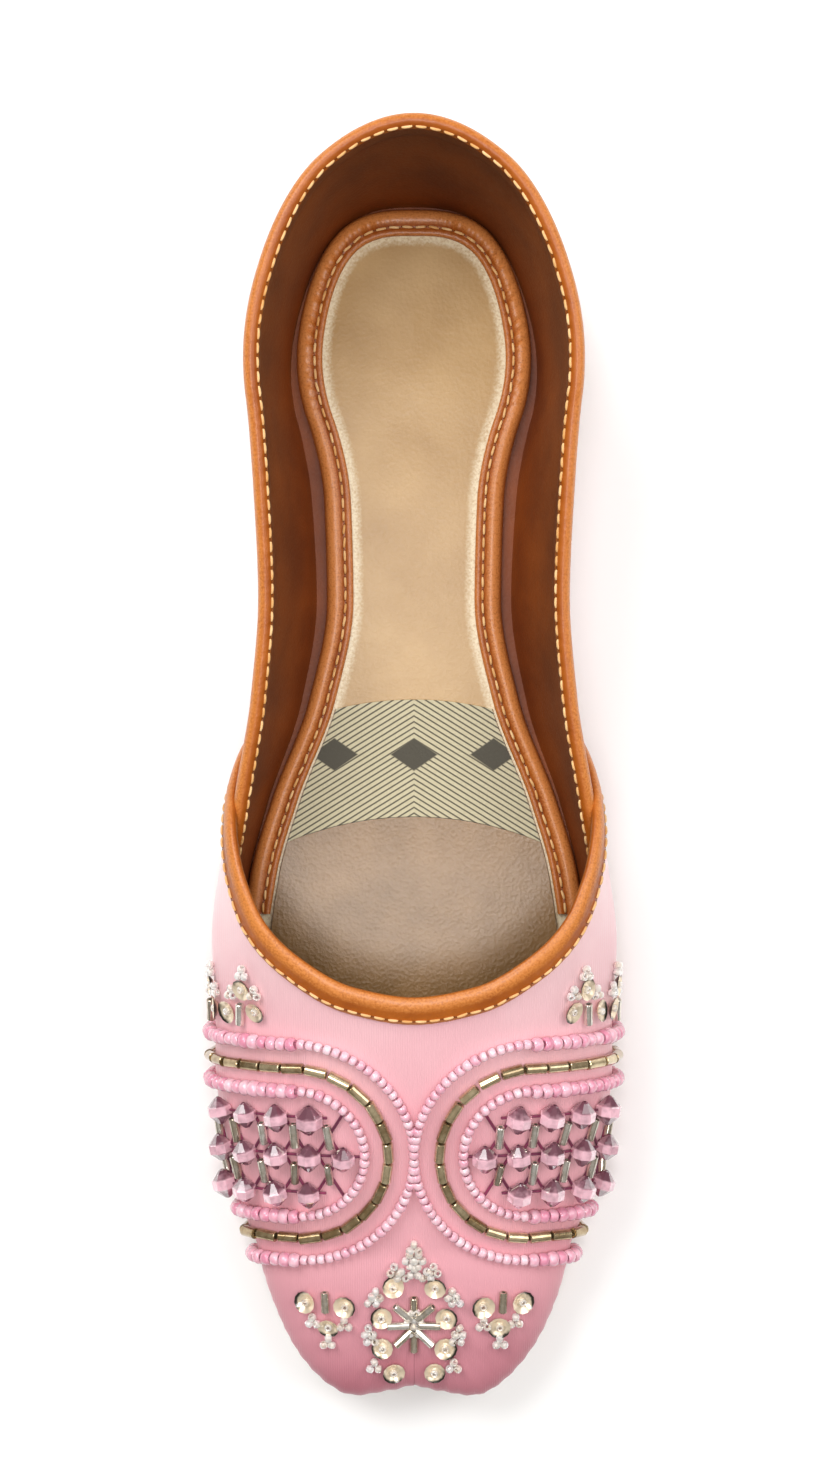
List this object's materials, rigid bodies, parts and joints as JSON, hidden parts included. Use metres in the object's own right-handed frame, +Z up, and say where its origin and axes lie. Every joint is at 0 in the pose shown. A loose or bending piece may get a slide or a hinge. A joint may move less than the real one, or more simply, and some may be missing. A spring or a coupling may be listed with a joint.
{
  "type": "mojari shoe",
  "caption": "Flat slip-on mojari with a beaded satin vamp, leather-bound collar and throat, bound insole and low heel.",
  "frame": {"origin": "on the floor, under the middle of the whole shoe", "axes": "+Z up, +Y from toe to heel, +X to the right as seen from above with the heel away"},
  "size_m": [0.084, 0.2459, 0.0555],
  "materials": {
    "sole_leather": "vegetable tanned, matt, worn pale on the tread",
    "satin": "shell pink satin, soft sheen, lightly creased",
    "binding_leather": "tan folded strip, waxed, stitched along its inner edge",
    "insole_leather": "natural, rubbed smooth",
    "sock_leather": "natural, rubbed smooth, duller to the toe",
    "woven_label": "cream twill with plain diagonal stripes",
    "pink_glass": "opaque and silver lined pink beads and crystals",
    "lined_glass": "silver lined clear bugles",
    "sequin_foil": "champagne cup sequins with clear beads"
  },
  "bodies": {
    "root": {"outsole": "sole_leather", "upper": "satin", "insole": "insole_leather", "collar_binding": "binding_leather", "vamp_binding": "binding_leather", "insole_binding": "binding_leather", "forefoot_sock": "sock_leather", "label_patch": "woven_label", "seed_row_outer": "pink_glass", "bugle_row_left": "lined_glass", "seed_row_left": "pink_glass", "crystal_lattice_left": "pink_glass", "toe_sprig_left": "sequin_foil", "throat_sprig_left": "sequin_foil", "bugle_row_right": "lined_glass", "seed_row_right": "pink_glass", "crystal_lattice_right": "pink_glass", "toe_sprig_right": "sequin_foil", "throat_sprig_right": "sequin_foil", "toe_flower": "sequin_foil"}
  },
  "joints": []
}
